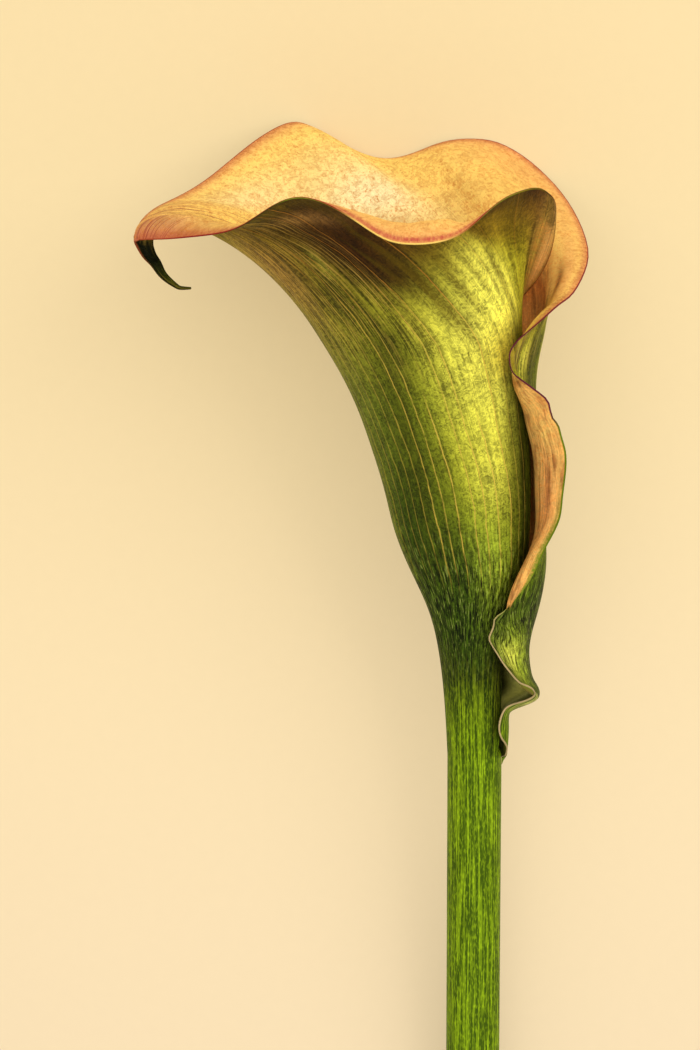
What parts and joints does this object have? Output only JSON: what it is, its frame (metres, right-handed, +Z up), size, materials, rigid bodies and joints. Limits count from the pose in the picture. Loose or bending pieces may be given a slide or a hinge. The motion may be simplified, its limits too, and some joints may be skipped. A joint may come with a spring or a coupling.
{
  "type": "calla lily flower",
  "caption": "Cut calla lily lying on its side: a funnel-shaped spathe with a wide rolled rim and a hooked tip, wrapped round a hidden spadix, on a smooth straight stem.",
  "frame": {"origin": "under the middle of the bounding box, on the surface that the flower lies on", "axes": "+Y along the stem from the cut end towards the flower, +X to the side of the rolled margins (right in the picture), +Z up from the surface, towards the side that the picture shows"},
  "size_m": [0.0908, 0.3108, 0.0853],
  "materials": {
    "stem": "smooth waxy green plant skin, satin",
    "spathe": "fleshy petal-like leaf, golden orange inside and veined yellow green outside, soft satin",
    "spadix": "matt, close-set pollen-yellow florets"
  },
  "bodies": {
    "root": {"stem": "stem", "spathe": "spathe", "spadix": "spadix"}
  },
  "joints": []
}
